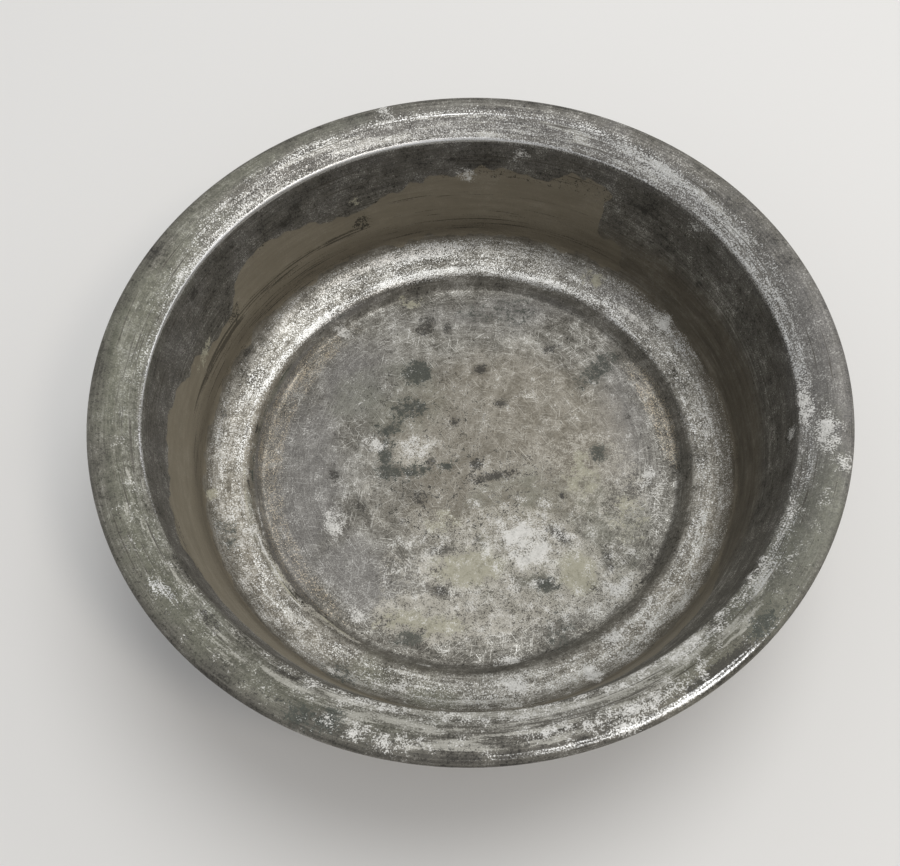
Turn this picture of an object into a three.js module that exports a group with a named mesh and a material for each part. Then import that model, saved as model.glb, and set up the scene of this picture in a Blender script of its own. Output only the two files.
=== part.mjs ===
// Shaving bowl: a wide basin raised from one sheet of tinned copper, with its rim rolled over an iron wire.
// Millimetres, +Z up. The origin is at the centre of the foot, on the surface that the bowl stands on.
import * as THREE from 'three';

const degrees = Math.PI / 180;

// Overall sizes
const rimRadius = 125; // to the outermost edge of the rolled rim
const bowlHeight = 67; // from the foot to the crest of the rim
const sheet = 0.9; // thickness of the tinned sheet

// Flat centre and the ledge around it
const stepRun = 4.6; // the step's width in plan
const stepRise = 5.7; // the step's height, from the flat centre up to the ledge
const ledgeWidth = 14.2; // from the top of the step to the foot of the wall
const ledgeRise = 3.7; // how much the ledge climbs on its way out to the wall

// Wall and flange
const wallFlare = 11.6 * degrees; // the wall's lean outwards, from upright
const flangeWidth = 16; // from the top of the wall to the outermost edge
const flangeRise = 6.5; // from the top of the wall to the crest of the rim
const crownReach = 4; // the flange levels off over this much on each side of its crown

// Inside radii of the bends, on the tighter face of the sheet
const floorBend = 2.2;
const stepBend = 1.6;
const footBend = 11;
const brimBend = 1.5;

// Wired edge
const wireDiameter = 1.2;
const wireClearance = 0.2; // between the wire and the sheet rolled around it
const curlSweep = 265 * degrees; // the roll stays open below the flange

// Smoothness of the solids
const turns = 72; // flats around the bowl
const bendStep = 20 * degrees;
const curlStep = 30 * degrees;
const wireSides = 10;

// The rolled edge, which the flange runs into at the top
const wireRadius = wireDiameter / 2;
const curlRadius = wireRadius + wireClearance + sheet;
const curlCentre = new THREE.Vector2(rimRadius - curlRadius, bowlHeight - curlRadius);

// Where the straight stretches of the upper face would meet, from the rim in to the centre
const crownCorner = new THREE.Vector2(curlCentre.x - crownReach, bowlHeight);
const brimCorner = new THREE.Vector2(rimRadius - flangeWidth, bowlHeight - flangeRise);
const footHeight = sheet + stepRise + ledgeRise;
const footCorner = new THREE.Vector2(brimCorner.x - (brimCorner.y - footHeight) * Math.tan(wallFlare), footHeight);
const stepCorner = new THREE.Vector2(footCorner.x - ledgeWidth, footHeight - ledgeRise);
const floorCorner = new THREE.Vector2(stepCorner.x - stepRun, sheet);
const crownTurn = Math.atan2(crownCorner.y - brimCorner.y, crownCorner.x - brimCorner.x);

// A point of the upper face with the direction that the face looks in.
const facePoint = (point, normal) => ({ point, normal });

// The points of an arc from one facing direction to another. A positive bend is hollow as seen from above.
function arc(centre, radius, from, to, step, hollow) {
  const count = Math.ceil(Math.abs(to - from) / step);
  const points = [];
  for (let i = 0; i <= count; i += 1) {
    const angle = from + ((to - from) * i) / count;
    const normal = new THREE.Vector2(Math.cos(angle), Math.sin(angle));
    const offset = normal.clone().multiplyScalar(hollow ? -radius : radius);
    points.push(facePoint(centre.clone().add(offset), normal));
  }
  return points;
}

// The rounded corner between two straight stretches of the upper face, on the way out from the centre.
function roundedCorner(before, corner, after, radius) {
  const heading = corner.clone().sub(before).angle();
  const next = after.clone().sub(corner).angle();
  const turn = Math.atan2(Math.sin(next - heading), Math.cos(next - heading));
  const hollow = turn > 0;
  const facing = heading + Math.PI / 2;
  const reach = radius * Math.tan(Math.abs(turn) / 2);
  const start = corner.clone().sub(new THREE.Vector2(Math.cos(heading), Math.sin(heading)).multiplyScalar(reach));
  const normal = new THREE.Vector2(Math.cos(facing), Math.sin(facing));
  const centre = start.add(normal.multiplyScalar(hollow ? radius : -radius));
  return arc(centre, radius, facing, facing + turn, bendStep, hollow);
}

// The upper face from the centre of the floor out to the lip of the rolled edge.
function upperFace() {
  const centre = new THREE.Vector2(0, sheet);
  const curlTop = new THREE.Vector2(curlCentre.x, bowlHeight);
  const crownRadius = crownReach / Math.tan(crownTurn / 2);
  const upright = Math.PI / 2;
  return [
    facePoint(centre, new THREE.Vector2(0, 1)),
    ...roundedCorner(centre, floorCorner, stepCorner, floorBend),
    ...roundedCorner(floorCorner, stepCorner, footCorner, stepBend + sheet),
    ...roundedCorner(stepCorner, footCorner, brimCorner, footBend),
    ...roundedCorner(footCorner, brimCorner, crownCorner, brimBend + sheet),
    ...roundedCorner(brimCorner, crownCorner, curlTop, crownRadius),
    ...arc(curlCentre, curlRadius, upright, upright - curlSweep, curlStep, false).slice(1),
  ];
}

// The sheet's section is the upper face and, a thickness behind it, the under face on the way back.
function sheetSection() {
  const upper = upperFace();
  const behind = ({ point, normal }) => point.clone().addScaledVector(normal, -sheet);
  const under = upper.map(behind).reverse();
  return [...upper.map(({ point }) => point), ...under].reverse();
}

function bowlBody() {
  const geometry = new THREE.LatheGeometry(sheetSection(), turns);
  geometry.rotateX(Math.PI / 2);
  const tinnedCopper = new THREE.MeshStandardMaterial({ color: 0x8a8a84, roughness: 0.5, metalness: 0.9 });
  const mesh = new THREE.Mesh(geometry, tinnedCopper);
  mesh.name = 'bowl_body';
  return mesh;
}

function rimWire() {
  const geometry = new THREE.TorusGeometry(curlCentre.x, wireRadius, wireSides, turns);
  const iron = new THREE.MeshStandardMaterial({ color: 0x4b4744, roughness: 0.7, metalness: 0.8 });
  const mesh = new THREE.Mesh(geometry, iron);
  mesh.name = 'rim_wire';
  mesh.position.z = curlCentre.y;
  return mesh;
}

const shavingBowl = new THREE.Group();
shavingBowl.add(bowlBody(), rimWire());

export default shavingBowl;
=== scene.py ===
"""Shaving bowl: a wide basin raised from tinned copper sheet, with a wired rim, on a pale studio floor.

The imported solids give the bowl's size and place. Each one is replaced here by a finely turned piece of the
same size, with the slight unevenness of hand work and the finish of old, worn tin.
"""

from __future__ import annotations

import logging
import math
from collections.abc import Callable
from dataclasses import dataclass, field
from enum import Enum

import bpy
import numpy as np
from mathutils import Matrix, Vector

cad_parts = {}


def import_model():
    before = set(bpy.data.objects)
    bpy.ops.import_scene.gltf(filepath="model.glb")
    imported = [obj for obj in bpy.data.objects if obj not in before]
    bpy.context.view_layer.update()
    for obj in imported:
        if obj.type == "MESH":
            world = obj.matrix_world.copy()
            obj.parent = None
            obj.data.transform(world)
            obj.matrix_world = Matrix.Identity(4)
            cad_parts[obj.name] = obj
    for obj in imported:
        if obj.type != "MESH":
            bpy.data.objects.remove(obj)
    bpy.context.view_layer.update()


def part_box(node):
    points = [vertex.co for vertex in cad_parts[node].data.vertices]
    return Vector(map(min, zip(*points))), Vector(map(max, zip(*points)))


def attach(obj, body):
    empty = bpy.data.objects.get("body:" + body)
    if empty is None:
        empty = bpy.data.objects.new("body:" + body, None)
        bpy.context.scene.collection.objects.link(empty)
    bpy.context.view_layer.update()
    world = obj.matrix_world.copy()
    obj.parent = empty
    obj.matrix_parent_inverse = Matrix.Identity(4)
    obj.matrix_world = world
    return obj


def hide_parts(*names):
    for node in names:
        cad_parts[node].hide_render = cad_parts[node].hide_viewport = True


LOG = logging.getLogger("shaving_bowl")

MM = 0.001  # metres in a millimetre
FULL_TURN = 2 * math.pi
SMOOTH_ANGLE = math.radians(50)  # faces that meet at less than this are shaded as one
MERGE_GAP = 0.005  # mm within which two points become one

# Sockets of the Mix node, which holds one set for each kind of data
FACTOR, FLOAT_A, FLOAT_B, COLOUR_A, COLOUR_B = 0, 2, 3, 6, 7
COLOUR_RESULT = 2

Tree = bpy.types.NodeTree
Socket = bpy.types.NodeSocket


def linear(colour: str) -> tuple[float, float, float, float]:
    """Turns an sRGB hex colour into the linear colour that Blender works in.

    Args:
        colour: six hex digits, such as "8a8a84".

    Returns:
        Red, green, blue and alpha, linear.
    """
    channels = [int(colour[i : i + 2], 16) / 255 for i in (0, 2, 4)]
    straight = [c / 12.92 if c <= 0.04045 else ((c + 0.055) / 1.055) ** 2.4 for c in channels]
    return (*straight, 1.0)


def add_node(tree: Tree, kind: str, inputs: dict | None = None, out: int | str = 0, **settings) -> Socket:
    """Adds a node to a material, with its settings, and fills its inputs.

    Args:
        tree: the material's node tree.
        kind: the node's type, without its "ShaderNode".
        inputs: for each socket's name or number, a value or the output that feeds it.
        out: number or name of the output to return.
        **settings: properties of the node.

    Returns:
        One output of the new node.
    """
    node = tree.nodes.new(f"ShaderNode{kind}")
    for name, value in settings.items():
        setattr(node, name, value)
    for key, value in (inputs or {}).items():
        if isinstance(value, Socket):
            tree.links.new(value, node.inputs[key])
        else:
            node.inputs[key].default_value = value
    return node.outputs[out]


def new_material(name: str, look: Callable[[Tree], dict]) -> bpy.types.Material:
    """Makes a material.

    Args:
        name: its name.
        look: adds the nodes to a tree and returns the shader's inputs.

    Returns:
        The material.
    """
    material = bpy.data.materials.new(name)
    material.use_nodes = True
    tree = material.node_tree
    tree.nodes.clear()
    shader = add_node(tree, "BsdfPrincipled", look(tree))
    tree.links.new(shader, tree.nodes.new("ShaderNodeOutputMaterial").inputs["Surface"])
    return material


@dataclass(frozen=True)
class Corner:
    """A corner of the section, where two straight stretches would meet.

    Attributes:
        out: distance from the bowl's axis, in mm.
        up: height over the foot, in mm.
        bend: radius that rounds the corner on the upper face, in mm.
        steps: pieces that the rounding is made of.
    """

    out: float
    up: float
    bend: float
    steps: int

    @property
    def place(self) -> Vector:
        """The corner as a point of the section."""
        return Vector((self.out, self.up))


@dataclass(frozen=True)
class BowlSection:
    """The bowl's upper face in section, from the middle of the floor out around the rolled edge, in mm."""

    rim_radius: float
    height: float
    wire_radius: float
    sheet: float = 0.9
    step_run: float = 4.6
    step_rise: float = 5.7
    ledge_width: float = 14.2
    ledge_rise: float = 3.7
    wall_flare: float = math.radians(11.6)
    flange_width: float = 16.0
    flange_rise: float = 6.5
    crown_reach: float = 4.0
    floor_bend: float = 2.2
    step_bend: float = 3.6
    foot_bend: float = 11.0
    brim_bend: float = 1.7
    wire_clearance: float = 0.2
    curl_sweep: float = math.radians(265)
    curl_steps: int = 22
    pitch: float = 1.45

    @property
    def curl_radius(self) -> float:
        """Outer radius of the rolled edge."""
        return self.wire_radius + self.wire_clearance + self.sheet

    @property
    def curl_centre(self) -> Vector:
        """Middle of the rolled edge, which the wire's centre line runs through."""
        return Vector((self.rim_radius - self.curl_radius, self.height - self.curl_radius))

    def corners(self) -> list[Corner]:
        """Works out where the section's straight stretches would meet.

        Returns:
            The corners from the floor's edge out to the crown of the flange.
        """
        brim_out, brim_up = self.rim_radius - self.flange_width, self.height - self.flange_rise
        foot_up = self.sheet + self.step_rise + self.ledge_rise
        foot_out = brim_out - (brim_up - foot_up) * math.tan(self.wall_flare)
        step_out = foot_out - self.ledge_width
        crown_out = self.curl_centre.x - self.crown_reach
        slope = math.atan2(self.height - brim_up, crown_out - brim_out)
        return [
            Corner(step_out - self.step_run, self.sheet, self.floor_bend, steps=6),
            Corner(step_out, foot_up - self.ledge_rise, self.step_bend, steps=6),
            Corner(foot_out, foot_up, self.foot_bend, steps=10),
            Corner(brim_out, brim_up, self.brim_bend, steps=7),
            Corner(crown_out, self.height, self.crown_reach / math.tan(slope / 2), steps=6),
        ]

    def rounded(self, before: Vector, corner: Corner, after: Vector) -> list[Vector]:
        """Rounds one corner.

        Args:
            before: a point of the stretch that comes in.
            corner: the corner.
            after: a point of the stretch that goes out.

        Returns:
            The points of the rounding, both ends included.
        """
        arrive = (corner.place - before).normalized()
        leave = (after - corner.place).normalized()
        turn = math.atan2(arrive.x * leave.y - arrive.y * leave.x, arrive.dot(leave))
        side = math.copysign(1.0, turn)
        start = corner.place - arrive * corner.bend * math.tan(abs(turn) / 2)
        centre = start + Vector((-arrive.y, arrive.x)) * corner.bend * side
        spoke = start - centre
        return [centre + rotated(spoke, turn * i / corner.steps) for i in range(corner.steps + 1)]

    def upper_face(self) -> list[Vector]:
        """Follows the face that looks up and in.

        Returns:
            Its points from the middle of the floor out, no further apart than the pitch.
        """
        corners = self.corners()
        middle = Vector((0.0, self.sheet))
        curl_top = Vector((self.curl_centre.x, self.height))
        route = [middle, *(corner.place for corner in corners), curl_top]
        bends = [middle]
        for index, corner in enumerate(corners):
            bends += self.rounded(route[index], corner, route[index + 2])
        spoke = curl_top - self.curl_centre
        turns = [-self.curl_sweep * i / self.curl_steps for i in range(1, self.curl_steps + 1)]
        bends += [self.curl_centre + rotated(spoke, turn) for turn in turns]
        points = [bends[0]]
        for end in bends[1:]:
            start = points[-1]
            count = max(1, math.ceil((end - start).length / self.pitch))
            points += [start.lerp(end, i / count) for i in range(1, count + 1)]
        return points


def rotated(spoke: Vector, angle: float) -> Vector:
    """A flat vector turned anticlockwise by an angle in radians."""
    cosine, sine = math.cos(angle), math.sin(angle)
    return Vector((spoke.x * cosine - spoke.y * sine, spoke.x * sine + spoke.y * cosine))


@dataclass(frozen=True)
class HandWork:
    """How far the bowl strays from a true turned shape, in mm. It only ever draws the rim in and down."""

    out_of_round: float = 0.5
    rim_dip: float = 0.35
    rim_dips: int = 3
    dips_turned: float = 0.6  # radians
    wall_swell: float = 0.25
    wall_swells: int = 5
    swells_turned: float = 1.1  # radians
    steady_radius: float = 40.0  # inside it, points move in proportion to their own

    def settle(self, places: np.ndarray, height: float) -> np.ndarray:
        """Moves points of the true shape to where they are on the bowl.

        Args:
            places: one row of x, y, z in mm for each point.
            height: height of the rim in mm.

        Returns:
            The moved points.
        """
        angle = np.arctan2(places[:, 1], places[:, 0])
        share = np.clip(places[:, 2] / height, 0.0, 1.0)
        oval = 0.5 * (1 - np.cos(2 * angle))
        waves = 0.5 * (1 - np.cos(self.wall_swells * angle + self.swells_turned))
        pull = self.out_of_round * oval * share**2 + self.wall_swell * waves * share * (1 - share) * 4
        dips = 0.5 * (1 + np.cos(self.rim_dips * angle + self.dips_turned))
        dip = self.rim_dip * dips * share**3
        keep = 1 - pull / np.maximum(np.hypot(places[:, 0], places[:, 1]), self.steady_radius)
        return np.column_stack([places[:, 0] * keep, places[:, 1] * keep, places[:, 2] - dip])


class Mark(Enum):
    """A kind of mark on the tin. Its value names the attribute that holds how deep inside one a point is."""

    HAZE = "haze"
    WARMTH = "warmth"
    OLIVE = "olive"
    COPPER = "copper"
    # Darker brown at the foot of the wall, and painted shade on the right-hand wall
    DARK_FOOT_AND_SHADE = "dark_foot_and_shade"
    FILM = "film"
    # Wear, and in places a painted highlight where the lights glint
    WORN_AND_GLINT = "worn_and_glint"
    TARNISH = "tarnish"
    VERDIGRIS = "verdigris"
    SOAP = "soap"
    LIME = "lime"
    # Polished ridges, with a painted highlight where the lights glint
    RUBBED_AND_GLINT = "rubbed_and_glint"
    HEEL = "heel"
    SOOT = "soot"
    SCORE = "score"
    CRUST = "crust"
    CRUMB = "crumb"
    CHALK = "chalk"


NO_LIMIT = 99.0  # mm, deeper than any mark gets
FAR_OUTSIDE = -20.0  # mm, the depth of a point that is in no mark of a kind
ALL_ROUND = 900.0  # half a width in mm that reaches right round the bowl
FLOOR_END = 82.0  # mm of run, past which a mark on the floor fades out
FLOOR_FADE = 20.0  # mm that each mm past it counts for


@dataclass(frozen=True)
class Places:
    """Where the points of the bowl's face are: lengths in mm, and angles in degrees from +X."""

    x: np.ndarray
    y: np.ndarray
    angle: np.ndarray
    radius: np.ndarray
    run: np.ndarray


@dataclass(frozen=True)
class Stain:
    """One mark: an ellipse on the side of the bowl, placed by its angle and its run over the face.

    Attributes:
        around: angle in degrees.
        run: distance from the middle of the floor, over the face, in mm.
        wide: half its size around the bowl, in mm.
        tall: half its size along the run, in mm.
        lean: degrees that it leans by, anticlockwise.
        most: the greatest depth inside it, in mm. Below zero, only its border's wanderings show, as spots.
    """

    around: float
    run: float
    wide: float
    tall: float
    lean: float = 0.0
    most: float = NO_LIMIT

    def offsets(self, places: Places) -> tuple[np.ndarray, np.ndarray]:
        """How far each point is from the mark's middle, around the bowl and along the run, in mm."""
        turn = (places.angle - self.around + 180.0) % 360.0 - 180.0
        return np.radians(turn) * places.radius, places.run - self.run

    def depth(self, places: Places) -> np.ndarray:
        """Measures how far inside the mark's border each point is.

        Args:
            places: the points.

        Returns:
            A depth in mm for each point, below zero outside.
        """
        across, along = self.offsets(places)
        cosine, sine = math.cos(math.radians(self.lean)), math.sin(math.radians(self.lean))
        level = (across * cosine + along * sine) / self.wide
        upright = (along * cosine - across * sine) / self.tall
        depth = (1.0 - np.hypot(level, upright)) * min(self.wide, self.tall)
        return np.minimum(depth, self.most)


@dataclass(frozen=True)
class Spot(Stain):
    """A mark on the flat floor, whose around and run are its x and y in mm."""

    def offsets(self, places: Places) -> tuple[np.ndarray, np.ndarray]:
        """How far each point is from the mark's middle, along x and y, in mm. The wall is out of reach."""
        beyond = np.maximum(places.run - FLOOR_END, 0.0)
        return places.x - self.around + beyond * FLOOR_FADE, places.y - self.run


@dataclass(frozen=True)
class TideLine:
    """The greasy film that standing water has left on the wall, from the foot up to a wandering line.

    Attributes:
        line: the line's height at a few angles: degrees and mm of run.
        foot: where the film starts, in mm of run.
        radius: the wall's mean radius, in mm.
    """

    line: tuple[tuple[float, float], ...]
    foot: float = 104.5
    radius: float = 107.0

    def depth(self, places: Places) -> np.ndarray:
        """Measures how far below the tide line each point is.

        Args:
            places: the points.

        Returns:
            A depth in mm for each point, below zero outside the film.
        """
        degree = math.radians(1) * self.radius
        around, run = places.angle % 360.0 * degree, places.run
        turns = [(angle + turn, height) for turn in (-360.0, 0.0, 360.0) for angle, height in self.line]
        ends = np.array(turns) * (degree, 1.0)
        away = np.full(len(run), NO_LIMIT)
        for start, end in zip(ends, ends[1:]):
            step = end - start
            share = ((around - start[0]) * step[0] + (run - start[1]) * step[1]) / step.dot(step)
            share = np.clip(share, 0.0, 1.0)
            gap = np.hypot(around - start[0] - share * step[0], run - start[1] - share * step[1])
            away = np.minimum(away, gap)
        return np.minimum(np.where(run < np.interp(around, *ends.T), away, -away), run - self.foot)


TIDE_LINE = TideLine(
    (
        (0, 98), (46, 98), (50, 118), (57.5, 119.5), (58.5, 131), (56, 134), (55.5, 138), (57.5, 142),
        (61, 143), (64.5, 142), (67, 137.5), (72, 135), (77, 137.5), (85, 138), (90, 134), (95, 135),
        (102, 130), (110, 127.5), (118, 127.5), (127, 132), (136, 136), (143, 132.5), (147, 127),
        (149, 119), (156, 121), (168, 129), (180, 134), (190, 132), (197, 137), (207, 139), (215, 135),
        (225, 132), (270, 131), (300, 128), (322, 118), (332, 98),
    )
)  # fmt: skip

STAINS = {
    # Grey bloom
    Mark.HAZE: (
        Stain(45, 95, 20, 6), Stain(70, 157, 140, 7), Stain(350, 160, 84, 11),
        Stain(150, 142, 120, 9, most=-2),
        Spot(62, 14, 9, 26), Spot(-63, -6, 14, 46), Spot(-46, -42, 18, 12, -40), Spot(-45, 40, 14, 18, -30),
        Spot(24, 68, 34, 6),
    ),
    # Brownish tint
    Mark.WARMTH: (
        Stain(330, 96, 60, 8), Stain(200, 94, 70, 7), Stain(303, 163, 16, 5),
        Spot(14, 8, 46, 40), Spot(0, -18, 30, 14),
    ),
    # Greenish tint
    Mark.OLIVE: (
        Stain(168, 159, 56, 8), Stain(130, 165, 40, 2.6), Stain(215, 159, 70, 8),
        Stain(318, 160.5, 50, 9, most=3), Stain(246, 94, 12, 5.5), Stain(259, 97, 8, 5),
        Spot(26, -34, 36, 24, most=-1), Spot(-30, 30, 20, 14, most=-0.5),
    ),
    # Copper showing through where the tin has worn off the bends
    Mark.COPPER: (
        Stain(14, 78.4, 18, 3.6, most=-0.7), Stain(162, 77.6, 38, 4.4, most=-0.7),
        Stain(204, 78, 28, 3.8, most=-1), Stain(344, 100.5, 46, 5, most=-0.9),
    ),
    # Darker brown in the bend at the foot of the wall, all round, and a painted shade over the right-hand
    # wall
    Mark.DARK_FOOT_AND_SHADE: (Stain(0, 107.5, ALL_ROUND, 5), Stain(12, 112, 96, 14)),
    # Bright tin, bared by wear, along the flange, the ledge and its ridge. On the far side of the brim and
    # of the ledge's ridge it is also a painted highlight, laid where the lights glint
    Mark.WORN_AND_GLINT: (
        Stain(18, 153.4, 40, 2.2, most=-0.1), Stain(34, 155.4, 20, 2.2, most=0),
        Stain(47, 157.6, 27, 2.4, 6, 0.1), Stain(59, 160, 13, 1.4, 3, 0.1),
        # Painted highlight with the wear: the glinting far side of the brim
        Stain(98, 153.6, 92, 2.2, most=-0.5), Stain(80, 157, 110, 4.6, most=-0.9),
        Stain(215, 162.2, 2.2, 1.3), Stain(217, 160, 2, 1), Stain(325, 155, 26, 1.4, most=-0.6),
        Stain(100, 98, 20, 3.4, most=0.4), Stain(124, 97.6, 16, 3.2, most=-0.5),
        # The second is the far side of the ledge's ridge: a painted highlight with the wear
        Stain(0, 96, ALL_ROUND, 5.5, most=-1), Stain(98, 88.6, 76, 1.6, most=0.2),
    ),
    # Near-black tarnish
    Mark.TARNISH: (
        Stain(0, 142, ALL_ROUND, 7, most=-1.1), Stain(47.5, 139.7, 8, 1.5),
        Stain(85.5, 142.4, 10, 4, most=-0.4), Stain(128.5, 137.6, 3, 2), Stain(125, 141.8, 3, 2),
        Stain(154.5, 145, 3, 1.4), Stain(143, 145.5, 4, 0.9), Stain(41, 134.3, 1.8, 0.9),
        Stain(29.3, 128, 1.4, 0.9), Stain(44, 128.4, 1.3, 0.8), Stain(111.5, 120.5, 3.2, 3, most=0),
        Stain(149, 122, 4, 4, most=-0.2), Stain(151, 101.6, 2.3, 1.4), Stain(167.5, 100.2, 1.6, 1),
        Stain(224, 155.3, 4, 1.5), Stain(239, 154.3, 3.2, 1), Stain(303, 166, 14, 2.6),
        Stain(240, 165.5, 120, 2.6, most=-0.9),
        Spot(-13, -52, 2.6, 2), Spot(42, -53.7, 3.2, 1.8), Spot(-14.7, 0.5, 1.4, 2.6), Spot(2.8, -2, 2, 2),
        Spot(8.7, -7.6, 9, 1.8, 6), Spot(-19.7, -14.5, 3.2, 2.6, most=0.4), Spot(-52.5, -3.2, 2.4, 2),
        Spot(-42, -16.7, 1.6, 2.4), Spot(7, 40.5, 3, 2), Spot(14.5, 24.7, 2, 1.6), Spot(-4.7, 17, 1.8, 2),
        Spot(63.7, 15, 1.2, 1), Spot(36, 48.8, 3, 2), Spot(-14.7, 63, 3.2, 4.6, -30, 0.3),
        Spot(-5.5, 61, 1.6, 2.6), Spot(32, -32.8, 5.5, 2.2, -42), Spot(34.5, -17, 1.6, 1.2),
        Spot(2, -33, 1.4, 1.2), Spot(-13, -37, 2.6, 1.2), Spot(48.7, -43.7, 2, 4, most=0.5),
        Spot(-6, -16, 24, 18, most=-1), Spot(5, 0, 62, 62, most=-1.9),
    ),
    # Dark green spots
    Mark.VERDIGRIS: (
        Stain(243.7, 164.6, 3.6, 2.8, most=1.4), Stain(247.8, 162.2, 3.4, 3.8, most=1.4),
        Stain(312, 164.4, 5, 2.6), Stain(198, 97.6, 5, 3, most=0), Stain(239.5, 100, 5, 3.4, most=0),
        Spot(-18.8, 40.5, 5.6, 5.6), Spot(-22, 24, 6.5, 4.6, most=0.8), Spot(-30.5, 15.5, 5, 2.6, 20),
        Spot(-32, 4.7, 2.8, 6), Spot(-30, -2.8, 5, 3.2), Spot(-21, -3.7, 4.6, 2.4),
        Spot(-8.8, -2, 2.4, 1.6), Spot(54.5, 38, 8.5, 3.4, 42, 0.9), Spot(50.3, 0, 2.6, 3.3),
        Spot(7.8, 68, 6, 3, most=-0.8), Spot(22.8, 68, 7, 6, most=-0.7), Spot(25.3, -52, 4.2, 3),
        Spot(-24.7, -68.7, 4, 2.4), Spot(28.7, -70, 4, 7, most=-0.6),
    ),
    # Dried soap
    Mark.SOAP: (
        Stain(53, 97.6, 3, 2), Stain(112.7, 131.4, 2, 2), Stain(160, 124, 2.6, 0.9),
        Stain(187.5, 101.3, 2.2, 1.8),
        Spot(-2.2, -43.7, 13, 6.8), Spot(37, -47.8, 7, 8.4, 20), Spot(-26.3, -62, 8, 3),
        Spot(-14, -65, 9, 3.4), Spot(-11.3, -25, 6, 4, most=0), Spot(42.8, -8.3, 6, 7.4, most=0),
        Spot(58, -28, 7, 9, most=-0.6), Spot(-20, 74.4, 3.2, 2.2),
    ),
    # Lime
    Mark.LIME: (
        Stain(284, 152.9, 42, 1.2, most=-0.6), Stain(276, 161.2, 2.4, 1.4), Stain(279, 161.2, 2.2, 1.6),
        Stain(291, 162.4, 13, 1.5), Stain(288.5, 165.6, 3, 1.6), Stain(255, 163.5, 9, 1.4, most=-0.9),
        Stain(346.5, 160.3, 5.5, 2.6), Stain(352, 153.8, 4.6, 1.8, most=0.4), Stain(341, 166, 2, 1.8),
        Stain(102, 163.4, 1.2, 2), Stain(275, 158, 120, 6, most=-2.6), Stain(32.5, 99.7, 3, 3),
        Stain(39, 93.4, 2.6, 0.9), Stain(277.3, 94, 3.2, 4), Stain(293, 96.8, 2.2, 4.6),
        Stain(302, 90.4, 3.2, 1.6), Stain(310, 95, 1.8, 2), Stain(270, 95, 120, 5, most=-1.9),
        Stain(75.8, 148, 1.2, 1.6), Stain(36, 147.8, 1.2, 0.9), Stain(87, 135.6, 1.6, 1.2),
        Stain(347.7, 146.4, 1.7, 2),
        Spot(19.5, -36, 9, 7.5, -10, 1.6), Spot(20, -37, 17, 13, -10, -1), Spot(-20.5, 6.6, 5, 4, most=0.2),
        Spot(52, -55.3, 4.2, 2.2, 30), Spot(12, -44, 44, 26, most=-1.8), Spot(0, 0, 74, 74, most=-3),
        Spot(10.3, -79, 2.6, 1), Spot(-52, -22, 3.4, 5, most=-0.2), Spot(-43.8, -59.5, 2.2, 1.4),
        Spot(-36.3, 9.7, 3, 2), Spot(-48, 62, 2.6, 1.2), Spot(68, -12, 1.6, 3.8, -30),
    ),
    # Ridges and edges polished by use, and a painted highlight: white stripes laid only on the arcs where
    # the lights glint, along the far brim, a scribed line on the flange and the near rim's edge
    Mark.RUBBED_AND_GLINT: (
        Stain(86, 161, 30, 0.25, 0.5, 0), Stain(122, 151.2, 118, 0.9), Stain(292, 166.9, 44, 0.7),
    ),
    # Outside: copper bare along the heel and the foot of the wall
    Mark.HEEL: (Stain(0, 80, ALL_ROUND, 2.4, most=0.2), Stain(0, 104, ALL_ROUND, 3, most=-0.8)),
    # Outside: soot on the wall
    Mark.SOOT: (Stain(0, 128, ALL_ROUND, 20, most=-2),),
    # Fine dark scores along the film, the wall and the flange
    Mark.SCORE: (
        Stain(135, 117.8, 26, 1, most=0.3), Stain(138, 116.4, 12, 1.4, 4, 0.3),
        Stain(117, 117.6, 9, 1.2, most=0.2), Stain(158, 116.2, 20, 1.2, most=0.2),
        Stain(100, 110, 70, 2.4, most=-0.5), Stain(85, 118, 60, 9, most=-1),
        Stain(150, 110, 60, 6, most=-0.5), Stain(0, 142, ALL_ROUND, 7, most=-0.7),
        Stain(270, 158, 300, 7, most=-0.7),
    ),
    # Crusts of lime and soap
    Mark.CRUST: (
        Spot(14, -46, 48, 28, most=-0.9), Spot(16, -34, 24, 14, -10, 0.5), Spot(-4, -46, 18, 8, -14, 0.6),
        Spot(38, -48, 11, 15, 20, 0.3), Spot(6, -61, 30, 8, 4, 0.4), Spot(52, -54, 9, 6, 34, 0.4),
        Spot(-14, -27, 13, 6, -30, -0.1), Spot(-20, -62, 17, 9, -10, 0.5), Spot(46, -18, 20, 26, most=-0.6),
        Spot(-6, -14, 34, 16, most=-0.8), Spot(-22, 4, 9, 7, most=0.5), Spot(0, 0, 76, 76, most=-1.8),
    ),
    # Dark crumbs between them
    Mark.CRUMB: (
        Spot(0, -14, 36, 18, most=-0.8), Spot(26, -46, 34, 22, most=-0.9), Spot(-18, 16, 26, 30, most=-1),
        Spot(0, 0, 76, 76, most=-1.7),
    ),
    # Lime wiped around the flange and the ledge
    Mark.CHALK: (
        Stain(276, 157.5, 76, 7, most=-0.4), Stain(282, 153.6, 60, 2, most=0.5),
        Stain(225, 156, 50, 6, most=-0.9), Stain(75, 157, 80, 4, most=-0.5),
        Stain(270, 95, 90, 5, most=-0.8),
    ),
}  # fmt: skip

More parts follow.
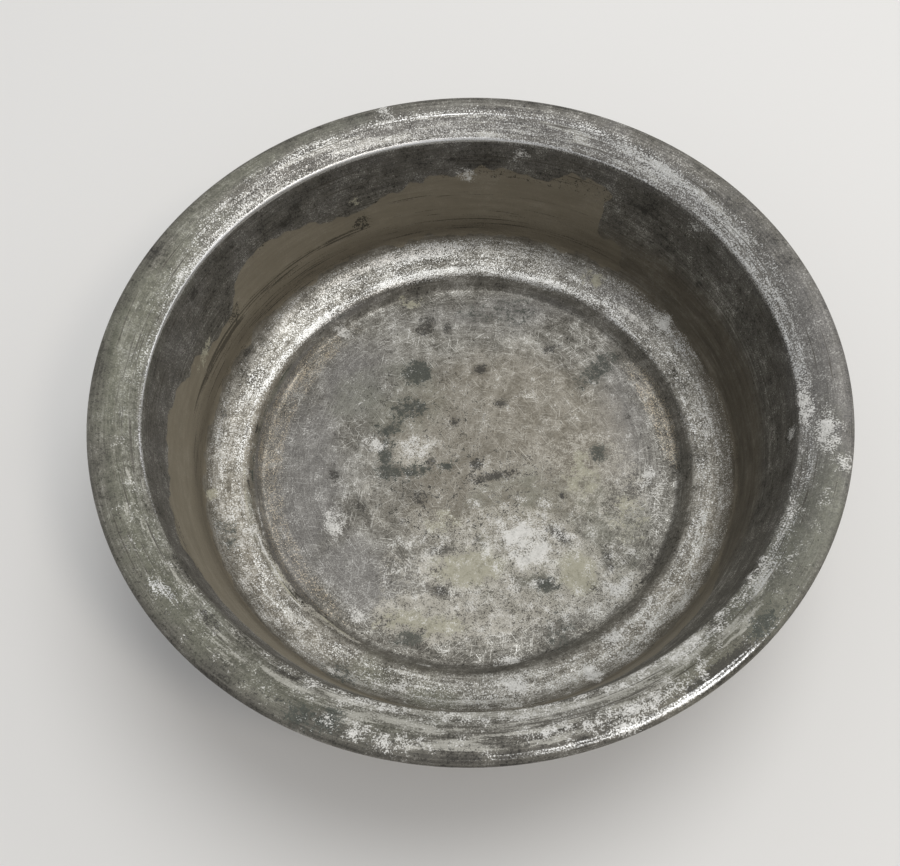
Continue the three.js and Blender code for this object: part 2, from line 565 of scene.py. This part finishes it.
# How the face looks at points along its run: mm of run, then a share that is 0 for none
CURVES = {
    # How bare the tin is, zone by zone. It dips on the step (80 to 86 mm of run) and on the rolled edge
    # (from 160 mm out), which makes them darker
    "tone": (
        (0, 0.45), (30, 0.455), (68, 0.445), (76, 0.43), (80, 0.41), (84, 0.37), (86, 0.36), (88, 0.46),
        (92, 0.5), (99, 0.52), (104, 0.42), (108, 0.36), (131, 0.35), (146, 0.31), (150, 0.35), (153, 0.47),
        (158, 0.43), (163, 0.33), (166, 0.29), (172, 0.34),
    ),
    # How much bright and dark grain shows
    "sparkle": (
        (0, 0.45), (66, 0.4), (74, 0.75), (80, 0.7), (83, 0.25), (88, 0.6), (91, 1.1), (99, 1.2),
        (103, 0.6), (107, 0.3), (130, 0.5), (135, 0.95), (147, 0.9), (151, 1.2), (157, 1.1), (163, 0.8),
        (166, 0.5),
    ),
    # How much the turning marks show
    "streak": (
        (0, 0), (40, 0.15), (70, 0.4), (80, 0.3), (90, 0.5), (100, 0.7), (108, 0.8), (130, 0.6),
        (148, 0.65), (155, 1.1), (166, 0.8),
    ),
    # How scratched it is
    "scuff": (
        (0, 1), (76, 1), (84, 0.2), (90, 0.5), (102, 0.3), (108, 0.05), (150, 0.05), (156, 0.3), (166, 0.2),
    ),
}  # fmt: skip


@dataclass(frozen=True)
class MarkFinish:
    """What one kind of mark looks like.

    Attributes:
        mark: its kind.
        dark: colour of its darker parts.
        light: colour of its lighter parts.
        metallic: how metallic it is, from 0 to 1.
        roughness: its roughness.
        fade: mm over which its border fades.
        wander: mm by which its border wanders.
        drift: the pattern that its border wanders by.
        crumble: mm by which fine grain breaks its border up.
        figure: the pattern that its two colours mix by.
        cover: how much of the metal it hides.
    """

    mark: Mark
    dark: str
    light: str
    metallic: float
    roughness: float
    fade: float
    wander: float
    drift: str
    crumble: float
    figure: str
    cover: float


INSIDE_MARKS = (
    MarkFinish(Mark.HAZE, "5f5d5c", "8b8987", 0.70, 0.52, 8.0, 7.0, "mottle", 2.0, "grain", 0.58),
    MarkFinish(Mark.WARMTH, "625b4e", "a59c89", 0.55, 0.55, 9.0, 6.0, "mottle", 2.0, "fleck", 0.42),
    MarkFinish(Mark.OLIVE, "484a3f", "868774", 0.50, 0.58, 5.0, 5.0, "mottle", 2.0, "fleck", 0.58),
    MarkFinish(Mark.COPPER, "6c6153", "cbbda4", 0.80, 0.46, 0.4, 1.2, "smear", 2.8, "grain", 0.65),
    MarkFinish(Mark.FILM, "7a7261", "8b8371", 0.20, 0.55, 0.22, 2.2, "scallop", 0.1, "smear", 0.86),
    # Darker brown at the foot of the wall, and painted shade on the right-hand wall
    MarkFinish(Mark.DARK_FOOT_AND_SHADE, "4a4439", "746c5c", 0.35, 0.55, 5.0, 1.4, "smear", 2.4, "smear", 0.75),
    MarkFinish(Mark.CHALK, "8f8d82", "d0cec4", 0.30, 0.58, 0.6, 3.4, "smear", 0.9, "smear", 0.55),
    # Tin bared by wear; on the far brim and the far ledge ridge also a painted highlight
    MarkFinish(Mark.WORN_AND_GLINT, "a6a6a2", "f2f2ef", 0.90, 0.42, 0.35, 1.5, "smear", 2.6, "fleck", 0.82),
    MarkFinish(Mark.CRUST, "9b978a", "d3cfc4", 0.10, 0.62, 0.30, 2.8, "fleck", 1.6, "cloud", 0.78),
    MarkFinish(Mark.CRUMB, "22211c", "413f36", 0.25, 0.62, 0.30, 2.8, "fleck", 1.4, "cloud", 0.85),
    MarkFinish(Mark.SCORE, "2c2923", "484237", 0.30, 0.60, 0.25, 1.5, "streak", 0.4, "fleck", 0.80),
    MarkFinish(Mark.TARNISH, "1b1a17", "3d3a33", 0.35, 0.58, 0.4, 2.8, "fleck", 1.4, "grain", 0.86),
    MarkFinish(Mark.VERDIGRIS, "171916", "4e534a", 0.15, 0.66, 0.4, 4.4, "fleck", 2.0, "grain", 0.86),
    MarkFinish(Mark.SOAP, "8b8876", "b9b6a1", 0.05, 0.66, 0.4, 4.6, "cloud", 2.2, "fleck", 0.80),
    MarkFinish(Mark.LIME, "a9a8a2", "f0efea", 0.15, 0.58, 1.0, 3.4, "cloud", 2.8, "fleck", 0.88),
    # Polished ridges, drawn pure white as a painted highlight where the lights glint
    MarkFinish(Mark.RUBBED_AND_GLINT, "dcdcd8", "ffffff", 1.00, 0.36, 0.3, 0.3, "streak", 0.3, "streak", 0.95),
)

OUTSIDE_MARKS = (
    MarkFinish(Mark.SOOT, "282521", "4a453d", 0.35, 0.60, 3.0, 9.0, "mottle", 2.0, "streak", 0.70),
    MarkFinish(Mark.HEEL, "5d4634", "9a7658", 0.85, 0.45, 0.8, 2.4, "smear", 1.4, "fleck", 0.70),
)


@dataclass(frozen=True)
class Pattern:
    """A noise that colour, gloss and relief share.

    Attributes:
        name: what it makes.
        size: mm from one of its spots to the next, or around the bowl in a pattern that runs around it.
        width: mm along the run from one line to the next in such a pattern, and zero in the others.
        detail: levels of finer noise in it.
        roughness: weight of the finer levels.
        relief: its part in the relief.
    """

    name: str
    size: float
    width: float
    detail: float
    roughness: float
    relief: float


PATTERNS = (
    Pattern("grain", 0.5, 0.0, 2.0, 0.6, 0.38),
    Pattern("fine", 0.8, 0.0, 2.0, 0.6, 0.2),
    Pattern("fleck", 1.8, 0.0, 5.0, 0.78, 0.7),
    Pattern("cloud", 5.0, 0.0, 6.0, 0.68, 0.5),
    Pattern("scallop", 7.0, 0.0, 1.5, 0.4, 0.0),
    Pattern("mottle", 17.0, 0.0, 6.0, 0.62, 0.0),
    Pattern("streak", 30.0, 0.7, 3.0, 0.62, 0.5),
    Pattern("smear", 22.0, 3.4, 5.0, 0.68, 0.3),
)

# Specks: their name, the pattern that they are picked from, how much they gather where cloud and mottle are
# high, and the pattern's values at which one starts and is full
SPECKS = (("salt", "grain", 0.5, 0.35, 0.85), ("pepper", "fine", -0.5, 0.40, 0.95))

# What makes the tin barer than its zone: a pattern, its share, and the curve that the share follows
TONE_SHARES = (
    ("mottle", 0.11, None),
    ("cloud", 0.11, None),
    ("smear", 0.18, "streak"),
    ("streak", 0.24, "streak"),
    ("fleck", 0.09, None),
    ("fleck", 0.08, "sparkle"),
    ("grain", 0.16, "sparkle"),
    ("salt", 0.34, "sparkle"),
    ("pepper", -0.24, None),
    ("scratch", 0.32, "scuff"),
    ("pits", -0.25, None),
)


@dataclass(frozen=True)
class WornTin:
    """Tin wiped hot over raised copper and worn by a century of use: a soft grey metal, dulled and spotted.

    It gives the eye a broken, granular shine rather than a mirror: fine crystals of bare tin between dull
    oxide, with turning marks that run around the bowl. The real crystals are finer than the render can show,
    so they are drawn as coarse as they need to be. The sizes are in mm.
    """

    name: str = "worn_tin"
    marks: tuple[MarkFinish, ...] = INSIDE_MARKS
    oxide: str = "33312c"
    dull: str = "6e6b63"
    bare: str = "b3b1a9"
    bright: str = "f0f0ec"
    mean_radius: float = 110.0
    scratch_length: float = 9.0
    scratch_width: float = 0.28
    scratch_height: float = 25.0
    scratch_edge: tuple[float, float] = (0.67, 0.72)  # the noise's values where one starts and is full
    scratch_angles: tuple[float, ...] = (12.0, 57.0, 101.0, 149.0)
    pit: float = 2.6  # from one pit's cell to the next
    pit_rarity: float = 0.6  # share of the cells that have none
    pit_radius: float = 0.26  # of the largest, as a share of its cell, like the width of its edge
    pit_edge: float = 0.08
    pit_depth: float = 1.2  # against the other patterns' relief
    relief_height: float = 0.06

    def material(self) -> bpy.types.Material:
        """Makes the material of one face of the bowl."""
        return new_material(self.name, self.look)

    def look(self, tree: Tree) -> dict[str, Socket]:
        """Adds the nodes.

        Args:
            tree: the material's node tree.

        Returns:
            The shader's inputs.
        """
        patterns = self.patterns(tree)
        tone = self.tone(tree, patterns)
        colour = add_node(tree, "ValToRGB", {"Fac": tone})
        stops = ((0.0, self.oxide), (0.38, self.dull), (0.66, self.bare), (1.0, self.bright))
        ramp = colour.node.color_ramp
        for _ in stops[2:]:
            ramp.elements.new(0.5)
        for element, (position, shade) in zip(ramp.elements, stops):
            element.position = position
            element.color = linear(shade)
        layers = [colour]
        for dull, bare in ((0.64, 0.48), (0.45, 0.85)):  # roughness and metallic, from dull to bare
            span = {"From Min": 0.2, "From Max": 0.9, "To Min": dull, "To Max": bare}
            layers.append(add_node(tree, "MapRange", {"Value": tone, **span}))
        for finish in self.marks:
            layers = self.marked(tree, patterns, finish, layers)
        look = dict(zip(("Base Color", "Roughness", "Metallic"), layers))
        return {**look, "Normal": self.relief(tree, patterns)}

    def patterns(self, tree: Tree) -> dict[str, Socket]:
        """Lays out the patterns that colour, gloss and relief share.

        Args:
            tree: the material's node tree.

        Returns:
            Each by its name: noises from about -1 to 1, and specks, scratches and pits from 0 to 1.
        """
        spot = add_node(tree, "TexCoord", out="Object")
        found = {}
        for pattern in PATTERNS:
            place, scale = spot, 1 / (pattern.size * MM)
            if pattern.width:
                place, scale = self.turned(tree, spot, pattern), 1.0
            grain = {"Scale": scale, "Detail": pattern.detail, "Roughness": pattern.roughness}
            noise = add_node(tree, "TexNoise", {"Vector": place, **grain})
            span = {"From Min": 0.25, "From Max": 0.75, "To Min": -1.0, "To Max": 1.0}
            found[pattern.name] = add_node(tree, "MapRange", {"Value": noise, **span}, clamp=False)
        for name, grit, share, low, high in SPECKS:
            value = found[grit]
            for crowd in ("cloud", "mottle"):
                terms = {0: found[crowd], 1: share, 2: value}
                value = add_node(tree, "Math", terms, operation="MULTIPLY_ADD")
            found[name] = add_node(tree, "MapRange", {"Value": value, "From Min": low, "From Max": high})
        found["scratch"] = self.scratches(tree, spot)
        found["pits"] = self.pits(tree, spot)
        return found

    def turned(self, tree: Tree, spot: Socket, pattern: Pattern) -> Socket:
        """Finds where to read a pattern that runs around the bowl: on a circle, and as high as the run.

        Args:
            tree: the material's node tree.
            spot: the place on the piece.
            pattern: the pattern.

        Returns:
            The place to read it at.
        """
        run = add_node(tree, "Attribute", out="Fac", attribute_name="run")
        flat = add_node(tree, "VectorMath", {0: spot, 1: (1, 1, 0)}, operation="MULTIPLY")
        spoke = add_node(tree, "VectorMath", {0: flat}, operation="NORMALIZE")
        reach = {0: spoke, "Scale": self.mean_radius / pattern.size}
        around = add_node(tree, "VectorMath", reach, operation="SCALE")
        lines = add_node(tree, "Math", {0: run, 1: 1 / pattern.width}, operation="MULTIPLY")
        lift = add_node(tree, "CombineXYZ", {"Z": lines})
        return add_node(tree, "VectorMath", {0: around, 1: lift}, operation="ADD")

    def scratches(self, tree: Tree, spot: Socket) -> Socket:
        """Draws fine scratches in a few directions.

        Args:
            tree: the material's node tree.
            spot: the place on the piece.

        Returns:
            1 on a scratch and 0 off it.
        """
        sizes = (self.scratch_length, self.scratch_width, self.scratch_height)
        scale = tuple(1 / (size * MM) for size in sizes)
        start, full = self.scratch_edge
        total = None
        for angle in self.scratch_angles:
            # Each direction reads a place of its own in the noise
            turn = {"Rotation": (0.0, 0.0, math.radians(angle)), "Location": (angle, 0.0, 0.0)}
            turned = add_node(tree, "Mapping", {"Vector": spot, **turn})
            place = add_node(tree, "VectorMath", {0: turned, 1: scale}, operation="MULTIPLY")
            grain = {"Scale": 1.0, "Detail": 1.0, "Distortion": 0.25}
            noise = add_node(tree, "TexNoise", {"Vector": place, **grain})
            line = add_node(tree, "MapRange", {"Value": noise, "From Min": start, "From Max": full})
            total = add_node(tree, "Math", {0: total, 1: line}, operation="MAXIMUM") if total else line
        return total

    def pits(self, tree: Tree, spot: Socket) -> Socket:
        """Strews small dark pits, of many sizes and wide apart.

        Args:
            tree: the material's node tree.
            spot: the place on the piece.

        Returns:
            1 in a pit and 0 outside.
        """
        grid = {"Vector": spot, "Scale": 1 / (self.pit * MM)}
        away = add_node(tree, "TexVoronoi", grid, out="Distance")
        chance = add_node(tree, "SeparateColor", {"Color": away.node.outputs["Color"]})
        span = {"From Min": self.pit_rarity, "From Max": 1.0, "To Max": self.pit_radius}
        size = add_node(tree, "MapRange", {"Value": chance, **span})
        inside = add_node(tree, "Math", {0: size, 1: away}, operation="SUBTRACT")
        return add_node(tree, "MapRange", {"Value": inside, "From Max": self.pit_edge})

    def tone(self, tree: Tree, patterns: dict[str, Socket]) -> Socket:
        """Adds up how bare the tin is.

        Args:
            tree: the material's node tree.
            patterns: the shared patterns.

        Returns:
            From 0 for oxide to 1 for bright metal.
        """
        curves = {name: add_node(tree, "Attribute", out="Fac", attribute_name=name) for name in CURVES}
        tone = curves["tone"]
        for name, share, curve in TONE_SHARES:
            amount = add_node(tree, "Math", {0: patterns[name], 1: share}, operation="MULTIPLY")
            if curve:
                amount = add_node(tree, "Math", {0: amount, 1: curves[curve]}, operation="MULTIPLY")
            tone = add_node(tree, "Math", {0: tone, 1: amount}, operation="ADD")
        return tone

    def marked(
        self, tree: Tree, patterns: dict[str, Socket], finish: MarkFinish, layers: list[Socket]
    ) -> list[Socket]:
        """Lays one kind of mark over the tin.

        Args:
            tree: the material's node tree.
            patterns: the shared patterns.
            finish: what the mark looks like.
            layers: colour, roughness and metallic under it.

        Returns:
            Colour, roughness and metallic with it.
        """
        depth = add_node(tree, "Attribute", out="Fac", attribute_name=finish.mark.value)
        for name, amount in ((finish.drift, finish.wander), ("grain", finish.crumble)):
            shift = add_node(tree, "Math", {0: patterns[name], 1: amount}, operation="MULTIPLY")
            depth = add_node(tree, "Math", {0: depth, 1: shift}, operation="ADD")
        edge = {"Value": depth, "From Min": -finish.fade, "From Max": finish.fade, "To Max": finish.cover}
        cover = add_node(tree, "MapRange", edge, interpolation_type="SMOOTHSTEP")
        figure = {"Value": patterns[finish.figure], "From Min": -1.0, "From Max": 1.0}
        ends = {COLOUR_A: linear(finish.dark), COLOUR_B: linear(finish.light)}
        ends[FACTOR] = add_node(tree, "MapRange", figure)
        shade = add_node(tree, "Mix", ends, out=COLOUR_RESULT, data_type="RGBA")
        ends = {FACTOR: cover, COLOUR_A: layers[0], COLOUR_B: shade}
        colour = add_node(tree, "Mix", ends, out=COLOUR_RESULT, data_type="RGBA")
        result = [colour]
        for under, over in zip(layers[1:], (finish.roughness, finish.metallic)):
            result.append(add_node(tree, "Mix", {FACTOR: cover, FLOAT_A: under, FLOAT_B: over}))
        return result

    def relief(self, tree: Tree, patterns: dict[str, Socket]) -> Socket:
        """Raises the fine relief of grain, streaks and pits.

        Args:
            tree: the material's node tree.
            patterns: the shared patterns.

        Returns:
            The shader's normal.
        """
        height = add_node(tree, "Math", {0: patterns["pits"], 1: -self.pit_depth}, operation="MULTIPLY")
        for pattern in PATTERNS:
            if pattern.relief:
                terms = {0: patterns[pattern.name], 1: pattern.relief, 2: height}
                height = add_node(tree, "Math", terms, operation="MULTIPLY_ADD")
        bump = {"Strength": 0.6, "Distance": self.relief_height * MM, "Height": height}
        return add_node(tree, "Bump", bump)


# The outside was never scoured as the inside was: its tin is darker, browner and sooty, and thin at the heel
DULLED_OUTSIDE = WornTin(
    name="dulled_tin_outside",
    marks=OUTSIDE_MARKS,
    oxide="2d2a25",
    dull="5f5a50",
    bare="938d80",
    bright="c4beb1",
)


@dataclass(frozen=True)
class IronWire:
    """Drawn iron wire, dark and lightly rusted, with almost no shine. Sizes are in mm."""

    scale_colour: str = "2e2b29"
    rust: str = "6a4430"
    bloom: float = 3.0
    relief_height: float = 0.05

    def material(self) -> bpy.types.Material:
        """Makes the material of the rim's wire."""
        return new_material("drawn_iron_wire", self.look)

    def look(self, tree: Tree) -> dict:
        """Adds the nodes.

        Args:
            tree: the material's node tree.

        Returns:
            The shader's inputs.
        """
        spot = add_node(tree, "TexCoord", out="Object")
        grain = {"Vector": spot, "Scale": 1 / (self.bloom * MM), "Detail": 6.0}
        bloom = add_node(tree, "TexNoise", grain)
        rusted = add_node(tree, "MapRange", {"Value": bloom, "From Min": 0.45, "From Max": 0.65})
        ends = {FACTOR: rusted, COLOUR_A: linear(self.scale_colour), COLOUR_B: linear(self.rust)}
        colour = add_node(tree, "Mix", ends, out=COLOUR_RESULT, data_type="RGBA")
        metallic = add_node(tree, "MapRange", {"Value": rusted, "To Min": 0.9, "To Max": 0.1})
        height = {"Strength": 0.4, "Distance": self.relief_height * MM, "Height": bloom}
        bump = add_node(tree, "Bump", height)
        return {"Base Color": colour, "Metallic": metallic, "Roughness": 0.6, "Normal": bump}


def select_only(piece: bpy.types.Object) -> None:
    """Selects one object alone and makes it the active one.

    Args:
        piece: the object.
    """
    bpy.ops.object.select_all(action="DESELECT")
    piece.select_set(True)
    bpy.context.view_layer.objects.active = piece


def points_of(piece: bpy.types.Object) -> np.ndarray:
    """Reads a piece's points.

    Args:
        piece: the piece.

    Returns:
        One row of x, y, z in mm for each point.
    """
    flat = np.empty(len(piece.data.vertices) * 3, np.float32)
    piece.data.vertices.foreach_get("co", flat)
    return flat.reshape(-1, 3).astype(float) / MM


def settle_piece(piece: bpy.types.Object, work: HandWork, height: float) -> None:
    """Draws a piece's true shape into the slightly uneven one that hand work leaves.

    Args:
        piece: the piece.
        work: the unevenness.
        height: height of the rim in mm.
    """
    settled = work.settle(points_of(piece), height) * MM
    piece.data.vertices.foreach_set("co", settled.astype(np.float32).ravel())
    piece.data.update()


@dataclass
class BowlShell:
    """The raised sheet: floor, step, ledge, wall, flange and rolled edge in one turned shell."""

    section: BowlSection
    work: HandWork
    turns: int = 280
    name: str = "bowl_shell"
    piece: bpy.types.Object | None = field(default=None, init=False)

    def build(self) -> bpy.types.Object:
        """Models the shell and dresses it.

        Returns:
            The finished piece.
        """
        points = self.section.upper_face()
        self.piece = self.spun(points)
        self.mark(points)
        self.thicken()
        settle_piece(self.piece, self.work, self.section.height)
        return self.piece

    def spun(self, points: list[Vector]) -> bpy.types.Object:
        """Extrudes the section point by point and spins it about the axis.

        Args:
            points: the section's upper face in mm.

        Returns:
            The upper face as an open mesh, looking up and in.
        """
        bpy.ops.object.select_all(action="DESELECT")
        start = (points[0].x * MM, 0.0, points[0].y * MM)
        bpy.ops.mesh.primitive_plane_add(size=MM, location=start)
        piece = bpy.context.active_object
        piece.name = piece.data.name = self.name
        bpy.ops.object.mode_set(mode="EDIT")
        bpy.ops.mesh.select_all(action="SELECT")
        bpy.ops.mesh.merge(type="CENTER")
        for before, after in zip(points, points[1:]):
            step = (after - before) * MM
            bpy.ops.mesh.extrude_vertices_move(TRANSFORM_OT_translate={"value": (step.x, 0.0, step.y)})
        bpy.ops.mesh.select_all(action="SELECT")
        bpy.ops.mesh.spin(steps=self.turns, angle=FULL_TURN, center=(0, 0, 0), axis=(0, 0, 1))
        bpy.ops.mesh.select_all(action="SELECT")
        bpy.ops.mesh.remove_doubles(threshold=MERGE_GAP * MM)
        bpy.ops.mesh.normals_make_consistent(inside=False)
        bpy.ops.object.mode_set(mode="OBJECT")
        select_only(piece)
        bpy.ops.object.transform_apply()
        floor = min(piece.data.polygons, key=lambda face: face.center.xy.length)
        if floor.normal.z < 0:
            piece.data.flip_normals()
        return piece

    def mark(self, points: list[Vector]) -> None:
        """Stores each point's run, how its zone looks, and how deep inside each kind of mark it is.

        Args:
            points: the section's upper face in mm.
        """
        places = points_of(self.piece)
        radius = np.hypot(places[:, 0], places[:, 1])
        outline = np.array([tuple(point) for point in points])
        lengths = np.concatenate([[0.0], np.cumsum(np.hypot(*np.diff(outline, axis=0).T))])
        gaps = np.hypot(radius[:, None] - outline[None, :, 0], places[:, 2][:, None] - outline[None, :, 1])
        run = lengths[np.argmin(gaps, axis=1)]
        angle = np.degrees(np.arctan2(places[:, 1], places[:, 0]))
        where = Places(places[:, 0], places[:, 1], angle, radius, run)
        self.store("run", run)
        for name, curve in CURVES.items():
            self.store(name, np.interp(run, *zip(*curve)))
        for mark in Mark:
            depth = np.full(len(run), FAR_OUTSIDE)
            for stain in STAINS.get(mark, ()):
                depth = np.maximum(depth, stain.depth(where))
            if mark is Mark.FILM:
                depth = TIDE_LINE.depth(where)
            self.store(mark.value, depth)

    def store(self, name: str, values: np.ndarray) -> None:
        """Writes one number for each point of the mesh."""
        layer = self.piece.data.attributes.new(name, "FLOAT", "POINT")
        layer.data.foreach_set("value", values.astype(np.float32))

    def thicken(self) -> None:
        """Gives the sheet its thickness behind the upper face, and each face its own finish."""
        self.piece.data.materials.append(WornTin().material())
        self.piece.data.materials.append(DULLED_OUTSIDE.material())
        select_only(self.piece)
        wall = self.piece.modifiers.new("sheet", "SOLIDIFY")
        wall.thickness = self.section.sheet * MM
        wall.offset = -1.0
        wall.use_even_offset = True
        wall.material_offset = 1
        wall.material_offset_rim = 0
        bpy.ops.object.modifier_apply(modifier=wall.name)
        bpy.ops.object.shade_smooth_by_angle(angle=SMOOTH_ANGLE)


@dataclass
class RimWire:
    """The iron wire that the rim is rolled over, with its two ends a little apart."""

    section: BowlSection
    work: HandWork
    turns: int = 360
    sides: int = 14
    joint_at: float = 214.5  # degrees around the bowl
    name: str = "rim_wire_ring"

    def build(self) -> bpy.types.Object:
        """Models the wire and dresses it.

        Returns:
            The finished piece.
        """
        centre = self.section.curl_centre
        bpy.ops.object.select_all(action="DESELECT")
        bpy.ops.mesh.primitive_torus_add(
            location=(0, 0, centre.y * MM),
            major_radius=centre.x * MM,
            minor_radius=self.section.wire_radius * MM,
            major_segments=self.turns,
            minor_segments=self.sides,
        )
        piece = bpy.context.active_object
        piece.name = piece.data.name = self.name
        bpy.ops.object.transform_apply()
        self.part_ends(piece)
        piece.data.materials.append(IronWire().material())
        select_only(piece)
        bpy.ops.object.shade_smooth_by_angle(angle=SMOOTH_ANGLE)
        settle_piece(piece, self.work, self.section.height)
        return piece

    def part_ends(self, piece: bpy.types.Object) -> None:
        """Opens the ring at one place and closes the two ends.

        Args:
            piece: the closed ring.
        """
        for face in piece.data.polygons:
            angle = math.degrees(math.atan2(face.center.y, face.center.x)) % 360.0
            face.select = abs(angle - self.joint_at) < 180.0 / self.turns
        bpy.ops.object.mode_set(mode="EDIT")
        bpy.ops.mesh.select_mode(type="FACE")
        bpy.ops.mesh.delete(type="ONLY_FACE")
        bpy.ops.mesh.select_mode(type="EDGE")
        bpy.ops.mesh.select_all(action="DESELECT")
        bpy.ops.mesh.select_non_manifold()
        bpy.ops.mesh.fill_holes(sides=self.sides)
        bpy.ops.mesh.select_all(action="DESELECT")
        bpy.ops.mesh.select_loose()
        bpy.ops.mesh.delete(type="EDGE")
        bpy.ops.mesh.select_all(action="SELECT")
        bpy.ops.mesh.normals_make_consistent(inside=False)
        bpy.ops.object.mode_set(mode="OBJECT")


@dataclass(frozen=True)
class SoftBox:
    """A soft light that aims at the bowl.

    Attributes:
        name: its name.
        toward: direction from the bowl to the light.
        distance: metres to the light.
        width: metres across.
        power: watts.
        colour: colour of its light.
    """

    name: str
    toward: tuple[float, float, float]
    distance: float
    width: float
    power: float
    colour: str

    def place(self, target: Vector) -> None:
        """Sets the light up.

        Args:
            target: the point that it aims at.
        """
        away = Vector(self.toward).normalized()
        light = bpy.data.lights.new(self.name, "AREA")
        light.shape = "DISK"
        light.size = self.width
        light.energy = self.power
        light.color = linear(self.colour)[:3]
        lamp = bpy.data.objects.new(self.name, light)
        bpy.context.scene.collection.objects.link(lamp)
        lamp.location = target + away * self.distance
        lamp.rotation_euler = away.to_track_quat("Z", "Y").to_euler()


SOFT_BOXES = (
    SoftBox("overhead_box", (0.22, 0.28, 0.93), 1.7, 1.15, 13.0, "ffffff"),
    SoftBox("window_side", (0.85, 0.35, 0.45), 1.8, 1.2, 3.6, "ffffff"),
    SoftBox("front_box", (0.47, -0.38, 0.80), 1.6, 0.30, 3.6, "fff4e8"),
)


@dataclass(frozen=True)
class Studio:
    """A pale paper floor, soft lights and the camera over the near side of the bowl. Lengths are in mm."""

    rim_radius: float
    rim_height: float
    floor_width: float = 60000.0
    floor_gap: float = 0.1  # keeps the floor and the bowl's underside from sharing a plane
    paper: str = "dcdbd8"
    fibre: float = 1.5
    room: str = "f5f6f9"
    room_strength: float = 0.60
    lens: float = 40.0
    sensor: float = 36.0
    camera_elevation: float = 62.57
    camera_roll: float = -3.1
    camera_distance: float = 2.56  # in rim radii, like the two below
    aim_right: float = -0.053
    aim_far: float = -0.172

    def build(self) -> None:
        """Sets up the floor, the lights and the camera."""
        self.lay_floor()
        self.light()
        self.stand_camera()

    def lay_floor(self) -> None:
        """Lays the sheet of paper that the bowl stands on."""
        bpy.ops.object.select_all(action="DESELECT")
        below = (0, 0, -self.floor_gap * MM)
        bpy.ops.mesh.primitive_plane_add(size=self.floor_width * MM, location=below)
        floor = bpy.context.active_object
        floor.name = "paper_floor"
        floor.data.materials.append(new_material("matt_paper", self.paper_look))

    def paper_look(self, tree: Tree) -> dict:
        """Adds the nodes of matt paper, which gives the eye a faint fibre and no shine.

        Args:
            tree: the material's node tree.

        Returns:
            The shader's inputs.
        """
        spot = add_node(tree, "TexCoord", out="Object")
        grain = {"Vector": spot, "Scale": 1 / (self.fibre * MM), "Detail": 4.0}
        height = {"Strength": 0.1, "Distance": 0.1 * MM, "Height": add_node(tree, "TexNoise", grain)}
        bump = add_node(tree, "Bump", height)
        return {"Base Color": linear(self.paper), "Roughness": 0.85, "Normal": bump}

    def light(self) -> None:
        """Hangs the lights and sets the room's own light."""
        for box in SOFT_BOXES:
            box.place(Vector((0, 0, self.rim_height * MM / 2)))
        world = bpy.data.worlds.new("room")
        world.use_nodes = True
        background = world.node_tree.nodes["Background"]
        background.inputs["Color"].default_value = linear(self.room)
        background.inputs["Strength"].default_value = self.room_strength
        bpy.context.scene.world = world
        bpy.context.scene.view_settings.view_transform = "Standard"

    def stand_camera(self) -> None:
        """Stands the camera over the near side, looking down into the bowl, a touch rolled."""
        elevation, roll = math.radians(self.camera_elevation), math.radians(self.camera_roll)
        ahead = Vector((0, math.cos(elevation), -math.sin(elevation)))
        level, upright = Vector((1, 0, 0)), Vector((0, math.sin(elevation), math.cos(elevation)))
        right = level * math.cos(roll) + upright * math.sin(roll)
        up = upright * math.cos(roll) - level * math.sin(roll)
        aim = Vector((self.aim_right, self.aim_far, 0)) * self.rim_radius + Vector((0, 0, self.rim_height))
        data = bpy.data.cameras.new("camera")
        data.lens = self.lens
        data.sensor_width = self.sensor
        camera = bpy.data.objects.new("camera", data)
        bpy.context.scene.collection.objects.link(camera)
        turn = Matrix((right, up, -ahead)).transposed().to_4x4()
        place = (aim - ahead * self.camera_distance * self.rim_radius) * MM
        camera.matrix_world = Matrix.Translation(place) @ turn
        bpy.context.scene.camera = camera


def main() -> None:
    """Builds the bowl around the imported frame."""
    logging.basicConfig(level=logging.INFO, format="%(name)s: %(message)s")
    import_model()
    low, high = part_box("bowl_body")
    wire_low, wire_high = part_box("rim_wire")
    wire_radius = (wire_high.z - wire_low.z) / 2 / MM
    section = BowlSection(rim_radius=high.x / MM, height=(high.z - low.z) / MM, wire_radius=wire_radius)
    work = HandWork()
    # The camera aims at the level of the rim's outer edge, a little under its crest
    Studio(rim_radius=section.rim_radius, rim_height=section.height - 1.0).build()
    shell = BowlShell(section, work).build()
    wire = RimWire(section, work).build()
    for piece, node, slot in ((shell, "bowl_body", "tinned_copper"), (wire, "rim_wire", "iron_wire")):
        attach(piece, "root")
        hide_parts(node)
        LOG.info("%s: %d faces", piece.name, len(piece.data.polygons))


if __name__ == "__main__":
    main()
